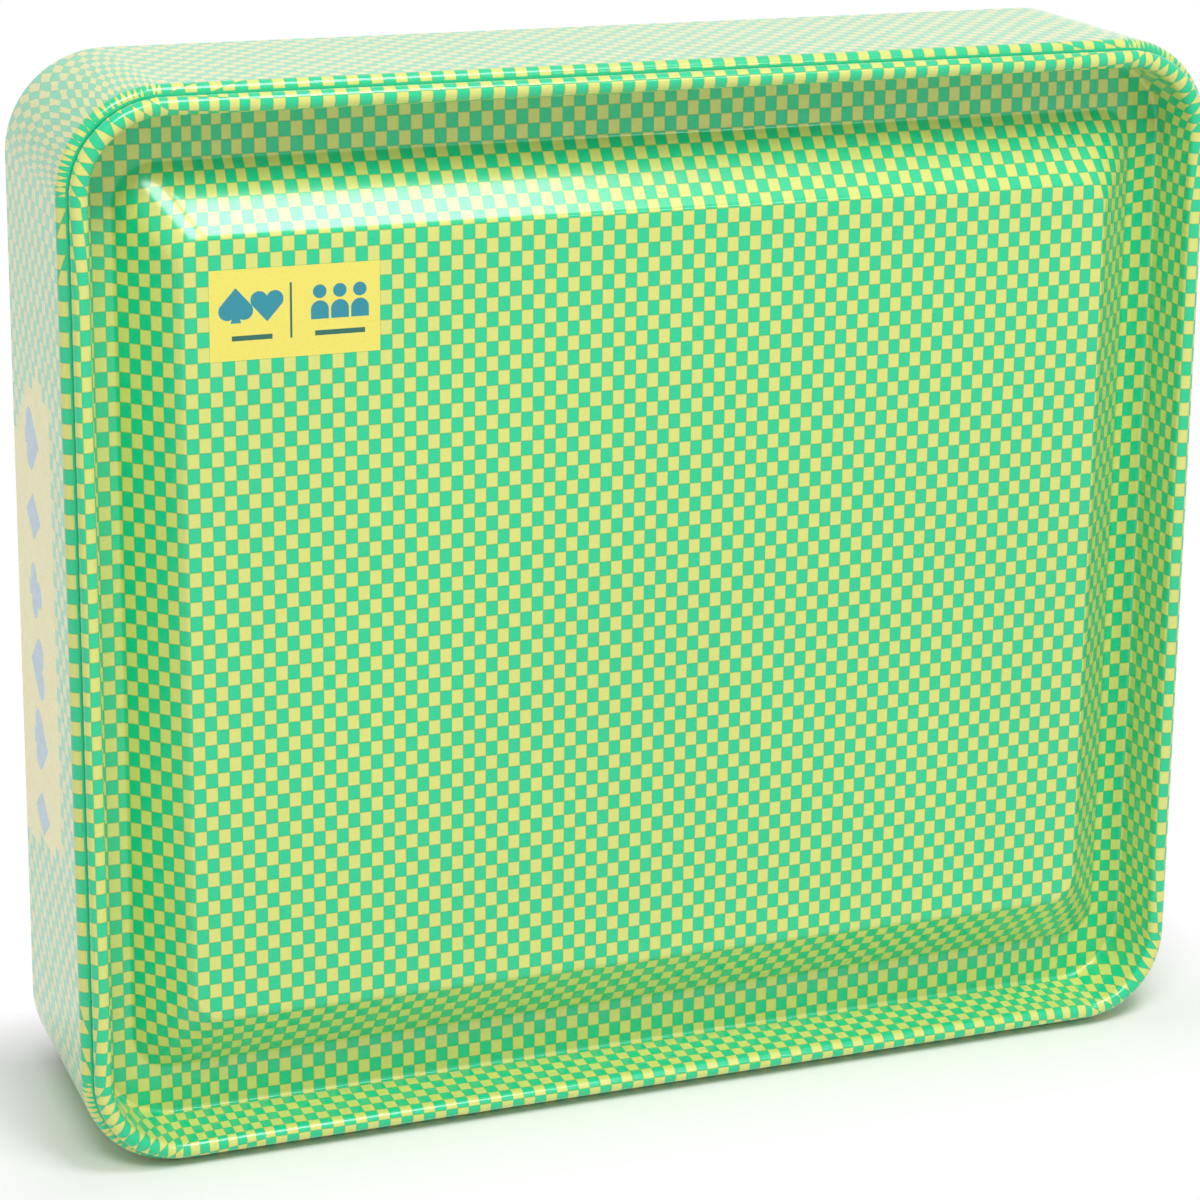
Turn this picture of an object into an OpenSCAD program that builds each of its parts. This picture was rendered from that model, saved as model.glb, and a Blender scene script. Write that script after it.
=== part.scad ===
// Card game tin with a hinged lid, cards and rule booklet inside.
// Every module draws the tin lying on its back: base at z = 0, rim of the lid at z = body_d.
// The module stand() then sets it up on its long edge, with the lid facing -Y.

/* [Tin] */
// Width of the tin along its long side, without the hinge
body_w = 170; // [160:1:200]
// Height of the tin when it stands on its long edge
body_h = 153; // [148:1:185]
// Depth from the front of the lid rim to the back of the base rim
body_d = 40; // [36:1:60]
// Outer radius of the four corners
corner_r = 14.3; // [13:0.1:18]
// Thickness of the tinplate
sheet_t = 0.3; // [0.25:0.05:0.4]
// Width of the side seam inside the wall
seam_w = 5; // [3:0.5:8]

/* [Shoulder and mouth] */
// How far the mouth is necked in from the wall
shoulder_in = 1.4; // [1.2:0.1:1.8]
// Height of the rounded shoulder
shoulder_drop = 1.3; // [1:0.1:2]
// Thickness of the hemmed lip round the mouth
lip_t = 0.3; // [0.25:0.05:0.4]
// Height of the hemmed lip
lip_h = 2.1; // [1.5:0.1:2.5]

/* [Rim curls] */
// Diameter of the curled rims of lid and base
curl_d = 2.5; // [2.4:0.1:2.8]
// Distance of a curl's outer side from the wall plane
curl_in = 1.3; // [1.1:0.1:1.5]

/* [Lid] */
// Depth of the flat lid panel behind the rim
panel_recess = 2.7; // [2.6:0.1:4]
// Depth of the valley floor behind the flat panel
valley_depth = 7.4; // [5:0.1:8]
// How far the valley's outer wall leans in from rim to floor
wall_draft = 0.3; // [0.3:0.1:1]
// Size of the bend between the wall and the valley floor
wall_bend = 0.7; // [0.5:0.1:1]
// Width of the valley floor on the left and right
valley_x = 4.5; // [3:0.1:6]
// Width of the valley floor at top and bottom
valley_y = 7; // [3:0.1:8]
// Width of the slope up to the panel on the left and right
slope_x = 8; // [6:0.1:10]
// Width of the slope up to the panel at top and bottom
slope_y = 9.9; // [6:0.1:12]
// Corner radius of the slope where it meets the valley
slope_foot_r = 5.6; // [4:0.1:8]
// Corner radius of the flat panel
panel_r = 1.5; // [1:0.1:4]

/* [Base] */
// Depth of the base panel behind the back rim
base_recess = 2.8; // [2.7:0.1:4]

/* [Hinge] */
// Diameter of the hinge wires
pin_d = 0.9; // [0.8:0.05:1]
// Outer diameter of the hinge knuckles
knuckle_d = 1.8; // [1.7:0.05:2]
// Running clearance between wire and knuckle, on the radius
pin_clear = 0.03; // [0.02:0.01:0.06]
// Depth of the hinge axis behind the rim
hinge_depth = 5.5; // [5.2:0.1:5.6]
// Distance of the hinge axis outside the wall plane
hinge_out = 0.15; // [0.1:0.05:0.5]
// Distance between the two hinges
hinge_gap = 80; // [50:1:100]
// Length of the lid knuckle in each hinge
lid_knuckle_l = 10; // [6:0.5:14]
// Length of each body knuckle
body_knuckle_l = 5; // [3:0.5:8]
// Gap between neighbouring knuckles
knuckle_gap = 0.2; // [0.15:0.05:0.4]
// Thickness of the leaf that joins the lid knuckle to the rim
leaf_t = 0.6; // [0.4:0.05:0.7]
// Room round the lid knuckle in the window of the body wall
window_room = 0.35; // [0.3:0.05:0.6]

/* [Insert tray] */
// Wall thickness of the tray
tray_t = 0.7; // [0.5:0.1:1]
// Distance of the tray's outline from the wall plane of the tin
tray_in = 2.1; // [2:0.1:3]
// Space between the tray and the valley floor of the shut lid
tray_lid_gap = 2; // [1.6:0.1:4]
// Space round the cards in their wells
well_clear = 0.8; // [0.6:0.1:1.5]
// Width of the web between neighbouring wells
well_gap = 5; // [3:0.5:8]
// Width of the tray's edge above and below the wells
tray_edge = 3.85; // [3:0.05:6]
// Diameter of the round finger wells
finger_d = 24; // [18:1:30]
// Depth of the round finger wells
finger_depth = 15; // [10:1:18]

/* [Cards] */
// Width of a playing card
card_w = 63.5; // [56:0.5:66]
// Height of a playing card
card_h = 88.9; // [80:0.1:91]
// Corner radius of the playing cards
card_r = 3.2; // [2:0.1:4]
// Width of a small card, whose height follows from the room above the playing cards
mini_w = 68; // [60:0.5:70]
// Height of the small decks
mini_deck_t = 15; // [8:0.5:18]
// How far the card decks stand above the tray
deck_proud = 0.4; // [0:0.1:0.8]
// Thickness of the rule booklet
booklet_t = 1.6; // [0.8:0.1:2.4]
// Width of the paper bands round the decks
band_w = 20; // [12:1:30]
// Thickness of the paper bands
band_t = 0.2; // [0.1:0.05:0.3]

/* [Hidden] */
$fn = 64;

// Levels, from the base upwards
mouth_z = body_d - curl_d;
curl_z = body_d - curl_d / 2;
panel_z = body_d - panel_recess;
valley_z = panel_z - valley_depth;
axis_z = body_d - hinge_depth;
floor_z = base_recess + sheet_t;
tray_top = valley_z - sheet_t - tray_lid_gap;
card_floor = floor_z + tray_t;

// Insets from the wall plane to the features of the lid
wall_in = curl_in + curl_d;
foot_in = wall_in + wall_draft;
floor_in = foot_in + wall_bend;
slope_in_x = foot_in + valley_x;
slope_in_y = foot_in + valley_y;
panel_in_x = slope_in_x + slope_x;
panel_in_y = slope_in_y + slope_y;
plate_in = wall_in + wall_bend;

// How far joined sheets run into each other, and how far cuts run past what they cut
overlap = 0.5;
past = 1;

// Places of the wells, the main decks below and the small decks above
well_w = card_w + 2 * well_clear;
well_h = card_h + 2 * well_clear;
mini_well_w = mini_w + 2 * well_clear;
mini_well_h = body_h - 2 * (tray_in + tray_edge) - well_h - well_gap;
mini_h = mini_well_h - 2 * well_clear;
wells_h = well_h + well_gap + mini_well_h;
card_x = (well_w + well_gap) / 2;
card_y = -wells_h / 2 + well_h / 2;
mini_x = (mini_well_w + well_gap) / 2;
mini_y = wells_h / 2 - mini_well_h / 2;
well_r = card_r + well_clear;

// Stacks of cards, each on its band
deck_z = card_floor + band_t;
deck_top = tray_top + deck_proud;
deck_right_top = deck_top - booklet_t;
mini_deck_z = deck_top - mini_deck_t;
mini_floor = mini_deck_z - band_t;

// Outermost point of the hinge, which shifts the tin so that its box stays centred
hinge_reach = hinge_out + knuckle_d / 2;
knuckle_pitch = lid_knuckle_l / 2 + knuckle_gap;
pin_l = 2 * (knuckle_pitch + body_knuckle_l);
axis_x = body_w / 2 + hinge_out;

// Stands a tin that lies on its back up on its long edge, lid towards -Y
module stand() {
    translate([-hinge_reach / 2, body_d / 2, body_h / 2]) rotate([90, 0, 0]) children();
}

// Rectangle with round corners, centred
module rounded(w, h, r) {
    square([w - 2 * r, h], center = true);
    square([w, h - 2 * r], center = true);
    for (x = [-1, 1], y = [-1, 1])
        translate([x * (w / 2 - r), y * (h / 2 - r)]) circle(r);
}

// The tin's outline moved in by x and y, with corner radius r
module inset_outline(x, y, r) {
    rounded(body_w - 2 * x, body_h - 2 * y, r);
}

// Carries a section round the tin: the section's x is the distance in from the wall plane
module round_the_tin() {
    for (side = [0:3]) {
        across = side % 2 == 0 ? body_w : body_h;
        along = (side % 2 == 0 ? body_h : body_w) - 2 * corner_r;
        rotate(90 * side) {
            translate([across / 2, along / 2, 0])
                rotate([90, 0, 0]) linear_extrude(along) mirror([1, 0]) children();
            translate([across / 2 - corner_r, along / 2, 0])
                rotate_extrude(angle = 90) translate([corner_r, 0]) mirror([1, 0]) children();
        }
    }
}

// Points of the rounded shoulder, from the wall up to the mouth, shrunk by t
function shoulder(t) = [
    for (a = [0:22.5:90]) [
        shoulder_in - (shoulder_in - t) * cos(a),
        mouth_z - shoulder_drop + (shoulder_drop - t) * sin(a)
    ]
];
function reversed(list) = [for (i = [len(list) - 1:-1:0]) list[i]];
function upside_down(list) = [for (p = list) [p[0], body_d - p[1]]];

// Section of the body wall: a hemmed lip at the mouth and a flange hooked into the base curl
function lip_points() = [
    [shoulder_in + lip_t, mouth_z],
    [shoulder_in + lip_t, mouth_z - lip_h],
    [shoulder_in, mouth_z - lip_h]
];
function flange_points() = [
    [wall_in - sheet_t, curl_d + sheet_t],
    [wall_in - sheet_t, curl_d / 2],
    [wall_in - 2 * sheet_t, curl_d / 2],
    [wall_in - 2 * sheet_t, curl_d]
];
function wall_points() = concat(
    shoulder(0), lip_points(), reversed(shoulder(sheet_t)),
    upside_down(shoulder(sheet_t)), flange_points(), upside_down(reversed(shoulder(0)))
);

// Section of a curl: sheet rolled into a C that is open towards the tin's inside
module curl_section() {
    difference() {
        circle(curl_d / 2);
        circle(curl_d / 2 - sheet_t);
        translate([0, -curl_d]) square([curl_d / 2 - sheet_t, curl_d]);
    }
}

// Section of the lid from its curl down the drafted wall to the edge of the valley floor
module lid_rim_section() {
    translate([curl_in + curl_d / 2, curl_z]) curl_section();
    polygon([
        [wall_in, curl_z],
        [foot_in, valley_z + wall_bend],
        [foot_in + wall_bend / 3, valley_z + wall_bend / 3],
        [floor_in, valley_z],
        [floor_in + overlap, valley_z],
        [floor_in + overlap, valley_z - sheet_t],
        [floor_in - sheet_t / 2, valley_z - sheet_t],
        [foot_in, valley_z],
        [foot_in - sheet_t, valley_z + wall_bend],
        [wall_in - sheet_t, curl_z]
    ]);
}

// Section of the base rim, turned up into the base panel
module base_rim_section() {
    translate([curl_in + curl_d / 2, curl_d / 2]) mirror([0, 1]) curl_section();
    polygon([
        [wall_in - sheet_t, curl_d / 2],
        [wall_in - sheet_t, floor_z],
        [plate_in, floor_z],
        [plate_in, base_recess],
        [wall_in, base_recess],
        [wall_in, curl_d / 2]
    ]);
}

// Outline of the tin moved in by x and y as points, with n steps in each corner
function outline_points(x, y, r, n) = [
    for (q = [0:3], k = [0:n])
        let (
            a = 90 * (q + k / n),
            cx = (q == 0 || q == 3 ? 1 : -1) * (body_w / 2 - x - r),
            cy = (q < 2 ? 1 : -1) * (body_h / 2 - y - r)
        )
        [cx + r * cos(a), cy + r * sin(a)]
];

// Rise of the slope from 0 to 1, with a tight bend at its foot and a soft one at the panel
foot_bend = 0.12;
panel_bend = 0.3;
slope_rate = 1 / (1 - foot_bend / 2 - panel_bend / 2);
function rise(u) =
    u < foot_bend ? slope_rate * u * u / (2 * foot_bend)
    : u < 1 - panel_bend ? slope_rate * (u - foot_bend / 2)
    : 1 - slope_rate * pow(1 - u, 2) / (2 * panel_bend);

// Rings of the slope's face at steps of u, moved back by t where the sheet is steep
slope_steps = [0, 0.06, 0.12, 0.4, 0.7, 0.78, 0.86, 0.93, 1];
flat_edge = 1;
function slope_ring(u, t) = [
    slope_in_x + slope_x * u,
    slope_in_y + slope_y * u,
    valley_z + valley_depth * rise(u) - t,
    slope_foot_r + (panel_r - slope_foot_r) * u
];
function flat_ring(u, e, t) =
    let (g = slope_ring(u, t)) [g[0] + e, g[1] + e, g[2], max(g[3] - e, panel_r)];
function slope_rings(t) = concat(
    [flat_ring(0, -flat_edge, t)],
    [for (u = slope_steps) slope_ring(u, t)],
    [flat_ring(1, flat_edge, t)]
);

// Closed sheet through a loop of rings
module sheet_through(rings, n) {
    count = 4 * (n + 1);
    points = [
        for (g = rings, p = outline_points(g[0], g[1], g[3], n)) [p[0], p[1], g[2]]
    ];
    faces = [
        for (i = [0:len(rings) - 1], j = [0:count - 1], half = [0, 1])
            let (
                i2 = (i + 1) % len(rings),
                j2 = (j + 1) % count,
                a = i * count + j,
                b = i * count + j2,
                c = i2 * count + j2,
                d = i2 * count + j
            )
            half == 0 ? [a, c, b] : [a, d, c]
    ];
    polyhedron(points, faces);
}

// Places its children at both hinges, on the hinge axis
module at_hinges() {
    for (y = [-1, 1]) translate([axis_x, y * hinge_gap / 2, axis_z]) children();
}

// Round bar along the hinge axis, from y0 to y1
module bar(d, y0, y1) {
    translate([0, y1, 0]) rotate([90, 0, 0]) cylinder(d = d, h = y1 - y0);
}

// Leaf from the lid knuckle up to the lid's curl
leaf_rise = curl_z - axis_z;
leaf_run = hinge_out + curl_in + curl_d / 2;
leaf_l = sqrt(leaf_rise * leaf_rise + leaf_run * leaf_run) - curl_d / 2;
leaf_angle = atan2(leaf_rise, -leaf_run);
module hinge_leaf() {
    start = knuckle_d / 2 - sheet_t / 2;
    translate([0, -lid_knuckle_l / 2, 0]) rotate([0, -leaf_angle, 0])
        translate([start, 0, -leaf_t / 2]) cube([leaf_l - start + sheet_t / 2, lid_knuckle_l, leaf_t]);
}

// Room that the lid knuckle and its leaf need in the body wall
module hinge_window() {
    inward = hinge_out + shoulder_in + lip_t + past;
    outward = knuckle_d / 2 + past;
    down = knuckle_d / 2 + window_room;
    up = mouth_z - axis_z + past;
    translate([-inward, -knuckle_pitch, -down])
        cube([inward + outward, 2 * knuckle_pitch, down + up]);
}

// Wrapped body wall with both shoulders, side seam and hinge knuckles
module body_wall() {
    color("mediumseagreen") stand() difference() {
        union() {
            difference() {
                round_the_tin() polygon(wall_points());
                at_hinges() hinge_window();
            }
            translate([body_w / 2 - 2 * sheet_t, -seam_w / 2, body_d - mouth_z + shoulder_drop])
                cube([1.5 * sheet_t, seam_w, 2 * mouth_z - body_d - 2 * shoulder_drop]);
            at_hinges() {
                bar(knuckle_d, knuckle_pitch, knuckle_pitch + body_knuckle_l);
                bar(knuckle_d, -knuckle_pitch - body_knuckle_l, -knuckle_pitch);
            }
        }
        at_hinges() bar(pin_d, -pin_l / 2 - knuckle_gap, pin_l / 2 + knuckle_gap);
    }
}

// Base panel with its curled rim
module base_panel() {
    color("seagreen") stand() {
        round_the_tin() base_rim_section();
        edge = plate_in - overlap;
        translate([0, 0, base_recess])
            linear_extrude(sheet_t) inset_outline(edge, edge, corner_r - edge);
    }
}

// Pressed lid: curl, drafted wall, valley, slope, flat panel and the two hinge leaves
module lid_panel() {
    color("mediumspringgreen") stand() {
        round_the_tin() lid_rim_section();
        translate([0, 0, valley_z - sheet_t]) linear_extrude(sheet_t) difference() {
            inset_outline(floor_in, floor_in, corner_r - floor_in);
            inset_outline(slope_in_x - overlap, slope_in_y - overlap, slope_foot_r + overlap);
        }
        sheet_through(concat(slope_rings(0), reversed(slope_rings(sheet_t))), 6);
        translate([0, 0, panel_z - sheet_t]) linear_extrude(sheet_t)
            inset_outline(panel_in_x + overlap, panel_in_y + overlap, panel_r);
        at_hinges() difference() {
            union() {
                bar(knuckle_d, -lid_knuckle_l / 2, lid_knuckle_l / 2);
                hinge_leaf();
            }
            bar(pin_d + 2 * pin_clear, -pin_l, pin_l);
        }
    }
}

// Wire of one hinge
module hinge_pin(y) {
    color("silver") stand() translate([axis_x, y, axis_z]) bar(pin_d, -pin_l / 2, pin_l / 2);
}

// Places its children at the main wells and at the small wells
module at_cards() {
    for (x = [-1, 1]) translate([x * card_x, card_y, 0]) children();
}
module at_minis() {
    for (x = [-1, 1]) translate([x * mini_x, mini_y, 0]) children();
}
module finger_places() {
    translate([0, card_y, 0]) children();
    for (x = [-1, 1]) translate([x * mini_x, mini_y - mini_well_h / 2, 0]) children();
}

// Thin formed tray with a skirt, four card wells and round finger wells
module insert_tray() {
    tray_r = corner_r - tray_in;
    finger_floor = tray_top - finger_depth;
    color("white") stand() difference() {
        union() {
            translate([0, 0, floor_z]) linear_extrude(tray_top - floor_z) difference() {
                inset_outline(tray_in, tray_in, tray_r);
                inset_outline(tray_in + tray_t, tray_in + tray_t, tray_r - tray_t);
            }
            translate([0, 0, tray_top - tray_t]) linear_extrude(tray_t)
                inset_outline(tray_in, tray_in, tray_r);
            at_cards() translate([0, 0, floor_z]) linear_extrude(tray_top - floor_z)
                rounded(well_w + 2 * tray_t, well_h + 2 * tray_t, well_r + tray_t);
            at_minis() translate([0, 0, mini_floor - tray_t]) linear_extrude(tray_top - mini_floor + tray_t)
                rounded(mini_well_w + 2 * tray_t, mini_well_h + 2 * tray_t, well_r + tray_t);
            finger_places() translate([0, 0, finger_floor - tray_t])
                cylinder(d = finger_d + 2 * tray_t, h = finger_depth + tray_t);
        }
        at_cards() translate([0, 0, card_floor]) linear_extrude(tray_top - card_floor + past)
            rounded(well_w, well_h, well_r);
        at_minis() translate([0, 0, mini_floor]) linear_extrude(tray_top - mini_floor + past)
            rounded(mini_well_w, mini_well_h, well_r);
        finger_places() translate([0, 0, finger_floor]) cylinder(d = finger_d, h = finger_depth + past);
    }
}

// Stack of cards from z0 to z1
module deck(x, y, w, h, z0, z1) {
    color("ivory") stand() translate([x, y, z0]) linear_extrude(z1 - z0) rounded(w, h, card_r);
}

// Paper band round a stack of cards from z0 to z1
module band(x, y, w, z0, z1) {
    color("khaki") stand() translate([x, y + band_w / 2, (z0 + z1) / 2]) rotate([90, 0, 0])
        linear_extrude(band_w) difference() {
            square([w + 2 * band_t, z1 - z0 + 2 * band_t], center = true);
            square([w, z1 - z0], center = true);
        }
}

// Folded rule booklet on the right-hand deck
module rule_booklet() {
    color("lightyellow") stand() translate([card_x, card_y, deck_right_top + band_t])
        linear_extrude(booklet_t) rounded(card_w, card_h, card_r);
}

body_wall();
base_panel();
lid_panel();
hinge_pin(hinge_gap / 2);  // hinge_pin_upper
hinge_pin(-hinge_gap / 2);  // hinge_pin_lower
insert_tray();
deck(-card_x, card_y, card_w, card_h, deck_z, deck_top);  // deck_left
deck(card_x, card_y, card_w, card_h, deck_z, deck_right_top);  // deck_right
deck(-mini_x, mini_y, mini_w, mini_h, mini_deck_z, deck_top);  // mini_deck_left
deck(mini_x, mini_y, mini_w, mini_h, mini_deck_z, deck_top);  // mini_deck_right
band(-card_x, card_y, card_w, deck_z, deck_top);  // band_left
band(card_x, card_y, card_w, deck_z, deck_right_top);  // band_right
band(-mini_x, mini_y, mini_w, mini_deck_z, deck_top);  // mini_band_left
band(mini_x, mini_y, mini_w, mini_deck_z, deck_top);  // mini_band_right
rule_booklet();
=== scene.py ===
import math
from collections import namedtuple

import bmesh
import bpy
from mathutils import Euler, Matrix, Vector


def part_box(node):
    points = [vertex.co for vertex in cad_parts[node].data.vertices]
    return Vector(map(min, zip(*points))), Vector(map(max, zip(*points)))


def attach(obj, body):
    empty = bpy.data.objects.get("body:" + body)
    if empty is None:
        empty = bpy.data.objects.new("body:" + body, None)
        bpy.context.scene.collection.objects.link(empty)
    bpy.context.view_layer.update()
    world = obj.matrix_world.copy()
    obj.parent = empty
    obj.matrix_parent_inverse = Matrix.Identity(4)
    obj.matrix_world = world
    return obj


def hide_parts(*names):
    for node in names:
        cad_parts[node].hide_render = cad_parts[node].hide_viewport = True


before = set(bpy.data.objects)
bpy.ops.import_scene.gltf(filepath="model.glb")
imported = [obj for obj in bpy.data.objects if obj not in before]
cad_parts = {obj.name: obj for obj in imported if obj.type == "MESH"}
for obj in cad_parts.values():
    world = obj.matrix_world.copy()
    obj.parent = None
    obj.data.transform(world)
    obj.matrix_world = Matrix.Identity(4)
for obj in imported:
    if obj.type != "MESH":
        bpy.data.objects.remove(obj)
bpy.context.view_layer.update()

MM = 0.001

# Pressed sheets, in millimetres; the panel's corner is rounder than the solid's, as in the photo
CORNER_R = 14.3
SHEET_T = 0.3
SHOULDER_IN = 1.4
SHOULDER_DROP = 1.3
LIP_T = 0.3
LIP_H = 2.1
LIP_CHAMFER = 0.1
CURL_R = 1.25
CURL_IN = 1.3
PANEL_RECESS = 2.7
VALLEY_DEPTH = 7.4
WALL_DRAFT = 0.3
WALL_BEND = 0.7
VALLEY_X = 4.5
VALLEY_Y = 7.0
SLOPE_X = 8.0
SLOPE_Y = 9.9
SLOPE_FOOT_R = 5.6
PANEL_R = 4.0
BASE_RECESS = 2.8
BASE_BEND = 0.6
FLANGE_BEND = 0.3

# Shares of the slope's width in the bends at its foot and at the panel
FOOT_BEND = 0.03
PANEL_BEND = 0.05

# How far inside its edge the large flat face of the lid and of the base begins
PANEL_MARGIN = 1.0
BASE_MARGIN = 2.0

# Steps of the round stretches
CORNER_STEPS = 16
CURL_STEPS = 24
SLOPE_STEPS = 22
BEND_STEPS = 6
SHOULDER_STEPS = 8

# Hinges and side seam, in millimetres and degrees
KNUCKLE_R = 0.9
BORE_R = 0.5
LID_KNUCKLE_L = 10.0
BODY_KNUCKLE_L = 5.0
KNUCKLE_GAP = 0.2
LID_ROLL_START = -95
BODY_ROLL_START = 110
ROLL_SWEEP = 340
ROLL_STEPS = 40
LEAF_T = 0.5
LEAF_SINK = 0.15
SEAM_W = 5.0
SOFT_EDGE = 0.06

# Windows in the wall for the lid's knuckles: room behind them, and how far in from the side
WINDOW_ROOM = 0.35
WINDOW_REACH = 4.0

# Play when the levels of two rings are compared
LEVEL_PLAY = 0.01

# Size of one check on the print: across, along the height, and along the depth of the wall
CHECK_X = 1.689
CHECK_Y = 2.075
CHECK_DEEP = 2.07

# Columns and rows of checks at the left and top edges of the flat panel
FIRST_COLUMN = -39
FIRST_ROW = 23

# Print of the body: checks from the middle to the front shoulders, and where the middle lies
SHOULDER_COLUMN = 68
SHOULDER_ROW = 54
MIDDLE_COLUMN = 0.10
MIDDLE_ROW = -0.42

# Share of the sheet's area that stays at a drawn corner, and how far the rim is stretched
DRAWN_AREA = 0.66
RIM_STRETCH = 1.05

# How far beyond a corner its crowded print reaches, how far it stays from the hinge windows, and
# how crowded it is where the straight side begins
SPREAD = 12.0
SPREAD_ROOM = 1.0
SIDE_SHARE = 0.2

# Half the width of the line where the inks overlap, as a share of a check, and its strength
OVERLAP = 0.05
OVERLAP_SHARE = 0.4

# Patch on the panel: its edges in checks, and its signs in millimetres from its middle
BADGE_LEFT = -37.0
BADGE_RIGHT = -23.0
BADGE_LOW = 15.0
BADGE_HIGH = 21.0
DIVIDER_X = -0.6
DIVIDER_Y = 0.2
DIVIDER_W = 0.3
DIVIDER_H = 7.6
SPADE_X = -8.2
SPADE_Y = 1.0
SPADE_SIZE = 4.6
HEART_X = -3.9
HEART_Y = 1.2
HEART_SIZE = 4.4
PLAYERS_X = 6.2
PLAYERS_Y = 1.0
PLAYER_PITCH = 2.8
HEAD_UP = 1.5
HEAD_R = 0.95
SHOULDERS_DOWN = 1.0
SHOULDERS_R = 1.25
CHEST_DOWN = 1.2
BODY_DOWN = 1.7
BODY_H = 1.2
BAR_Y = -3.2
BAR_H = 0.7
SUITS_BAR_X = -6.0
SUITS_BAR_W = 5.6
PLAYERS_BAR_W = 7.0

# Patch on the side: its edges in checks, down from row SIDE_COUNT, and back from the shoulder
# with a minus; its upper end runs to a peak and its lower end is cut at a slant
SIDE_COUNT = 166.0
SIDE_START = 149.0
SIDE_END = 184.0
SIDE_LOW = -16.0
SIDE_HIGH = -4.0
SIDE_PEAK = -8.0
SIDE_SLANT = 0.8
SIDE_CUT = 0.15
SIDE_MARGIN = 3.0

# Row of suits on the side patch, in millimetres
SUIT_PITCH = 11.0
SUIT_SIZE = 8.6
SUIT_COUNT = 6

# Reach of the lip's plain green over the shoulder's edge, in millimetres: painted crevice shade
LIP_SHADE_REACH = 0.03

# Cards and bands, in millimetres; the lattice in shares of its pitch
CARD_BORDER = 3.5
CARD_LINES = 3.2
DECK_PITCH = 6.0
MINI_PITCH = 4.5
LATTICE_LINE = 0.22
LATTICE_SPOT = 0.26
BAND_LINE_FROM = 1.2
BAND_LINE_TO = 2.0

# Cover of the booklet, in millimetres from its middle
BOOKLET_BORDER = 6.2
COVER_SUIT = 12.0
COVER_DIAMOND_W = 9.5
COVER_DIAMOND_H = 13.0
COVER_SUIT_X = 8.5
COVER_HIGH = 14.0
COVER_LOW = -5.0
RULE_TOP = -20.0
RULE_PITCH = 3.4
RULE_W = 34.0
RULE_H = 0.8
RULE_COUNT = 3

# Roughness of every lacquer, and the noise's range that is spread over a material's own range
COAT_ROUGHNESS = 0.14
NOISE_LOW = 0.3
NOISE_HIGH = 0.7

# Camera: place in metres, turn in degrees, lens and sensor in millimetres
CAMERA_PLACE = (-0.17912, -0.46899, 0.22945)
CAMERA_TURN = (74.9946, -0.8127, -21.2651)
CAMERA_LENS = 107.1
CAMERA_SHIFT = (-0.0478, -0.1333)
CAMERA_SENSOR = 36.0
CAMERA_NEAR = 0.01

# Strength of the white surroundings as a light, and where the lights stand and look, in metres
WORLD_LIGHT = 0.38
FRONT_PLACE = (-0.3, -0.72, 1.0)
KEY_PLACE = (0.45, -0.95, 0.70)
FRONT_TARGET = (0, 0, 0.08)
TOP_PLACE = (0.15, -0.40, 0.92)
TOP_TARGET = (0, -0.02, 0.1)

# Floor, in metres: its size, and between which distances from the tin it fades to white
FLOOR_SIZE = 3.0
FLOOR_KEPT = 0.001
FLOOR_WHITE = 0.021

# A sheet is a list of rings: inset at the sides, inset at top and bottom, level, corner radius.
# A ring is drawn as points, each with the angle of the outline and how crowded its print is.
Ring = namedtuple("Ring", "in_x in_y level radius")
Point = namedtuple("Point", "x y angle crowd")

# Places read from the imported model
wall_low, wall_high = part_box("body_wall")
base_low, base_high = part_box("base_panel")
lid_low, lid_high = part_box("lid_panel")
pin_boxes = [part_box("hinge_pin_upper"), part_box("hinge_pin_lower")]
centre_x = (base_low.x + base_high.x) / 2
middle_z = (wall_low.z + wall_high.z) / 2
half_w = (centre_x - wall_low.x) / MM
half_h = (wall_high.z - wall_low.z) / 2 / MM
tin_d = (base_high.y - lid_low.y) / MM
pin_centres = [(low + high) / 2 for low, high in pin_boxes]
hinge_heights = [(centre.z - middle_z) / MM for centre in pin_centres]

# Insets and levels of the sections
curl_middle = CURL_IN + CURL_R
wall_in = CURL_IN + 2 * CURL_R
foot_in = wall_in + WALL_DRAFT
slope_in_x = foot_in + VALLEY_X
slope_in_y = foot_in + VALLEY_Y
panel_in_x = slope_in_x + SLOPE_X
panel_in_y = slope_in_y + SLOPE_Y
mouth_z = tin_d - 2 * CURL_R
curl_z = tin_d - CURL_R
panel_z = tin_d - PANEL_RECESS
valley_z = panel_z - VALLEY_DEPTH
axis_z = (base_high.y - pin_centres[0].y) / MM
window_z = axis_z - KNUCKLE_R - WINDOW_ROOM
window_half = LID_KNUCKLE_L / 2 + KNUCKLE_GAP


def place(x, y, z):
    """Point of the frame for a point of the tin lying on its back."""
    return Vector((centre_x + x * MM, base_high.y - z * MM, middle_z + y * MM))


def srgb(red, green, blue):
    """Linear colour for an sRGB colour given from 0 to 255."""
    def linear(value):
        share = value / 255
        return share / 12.92 if share <= 0.04045 else ((share + 0.055) / 1.055) ** 2.4
    return (linear(red), linear(green), linear(blue), 1.0)


# Inks
GREEN = srgb(15, 204, 144)
YELLOW = srgb(219, 220, 120)
BOTH_INKS = srgb(30, 160, 70)
PATCH_YELLOW = srgb(238, 224, 100)
TEAL = srgb(30, 140, 158)
DARK_GREEN = srgb(30, 104, 86)
GREY_BLUE = srgb(112, 172, 200)
LATTICE_GREEN = srgb(26, 168, 120)
GOLD = srgb(232, 214, 84)

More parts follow.
